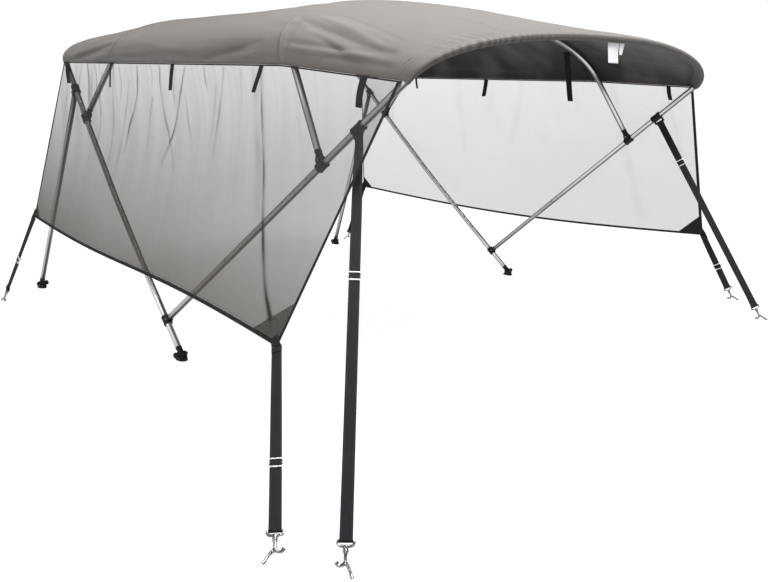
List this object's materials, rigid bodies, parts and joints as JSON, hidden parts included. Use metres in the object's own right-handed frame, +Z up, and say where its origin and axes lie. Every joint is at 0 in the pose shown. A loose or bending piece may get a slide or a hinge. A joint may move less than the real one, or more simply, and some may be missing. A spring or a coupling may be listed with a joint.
{
  "type": "bimini top with frame",
  "caption": "Boat bimini top: cloth canopy over tube bows on deck hinges, with a mesh wall down each side, rear support poles and hooked webbing hold-down straps.",
  "frame": {"origin": "on the ground, under the middle of the whole set-up's bounding box", "axes": "+X forward along the boat, +Y to port across it, +Z up"},
  "size_m": [3.3096, 3.643, 1.488],
  "materials": {
    "canopy_cloth": "coated woven polyester, matt",
    "wall_mesh": "open vinyl-coated mesh",
    "webbing": "woven polypropylene webbing and binding tape",
    "aluminium": "drawn tube, satin anodised",
    "nylon": "moulded nylon",
    "steel": "polished stainless wire and plate",
    "label": "smooth woven tag"
  },
  "bodies": {
    "root": {"canopy_aft_panel": "canopy_cloth", "canopy_middle_panel": "canopy_cloth", "canopy_fore_panel": "canopy_cloth", "bow_aft": "aluminium", "bow_aft_inner": "aluminium", "bow_fore_inner": "aluminium", "bow_fore": "aluminium", "deck_hinge_starboard_main": "nylon", "deck_hinge_starboard_rear": "nylon", "rear_pole_starboard": "aluminium", "deck_hinge_port_main": "nylon", "deck_hinge_port_rear": "nylon", "rear_pole_port": "aluminium", "jaw_starboard_low": "nylon", "jaw_starboard_aft_inner": "nylon", "jaw_starboard_fore_inner": "nylon", "jaw_starboard_pole": "nylon", "jaw_port_low": "nylon", "jaw_port_aft_inner": "nylon", "jaw_port_fore_inner": "nylon", "jaw_port_pole": "nylon", "wall_starboard": "wall_mesh", "wall_binding_starboard": "webbing", "wall_port": "wall_mesh", "wall_binding_port": "webbing", "wall_patch_starboard_fore": "webbing", "wall_patch_starboard_aft": "webbing", "wall_patch_port_fore": "webbing", "wall_patch_port_aft": "webbing", "tie_starboard_1": "webbing", "tie_starboard_2": "webbing", "tie_starboard_3": "webbing", "tie_starboard_4": "webbing", "tie_starboard_5": "webbing", "tie_port_1": "webbing", "tie_port_2": "webbing", "tie_port_4": "webbing", "tie_port_3": "webbing", "care_label": "label", "jaw_starboard_strap": "nylon", "strap_starboard_bow": "webbing", "slider_starboard_bow": "steel", "hook_starboard_bow": "steel", "strap_starboard_fore": "webbing", "slider_starboard_fore": "steel", "hook_starboard_fore": "steel", "strap_starboard_aft": "webbing", "slider_starboard_aft": "steel", "hook_starboard_aft": "steel", "jaw_port_strap": "nylon", "strap_port_bow": "webbing", "slider_port_bow": "steel", "hook_port_bow": "steel", "strap_port_fore": "webbing", "slider_port_fore": "steel", "hook_port_fore": "steel", "strap_port_aft": "webbing", "slider_port_aft": "steel", "hook_port_aft": "steel"}
  },
  "joints": []
}
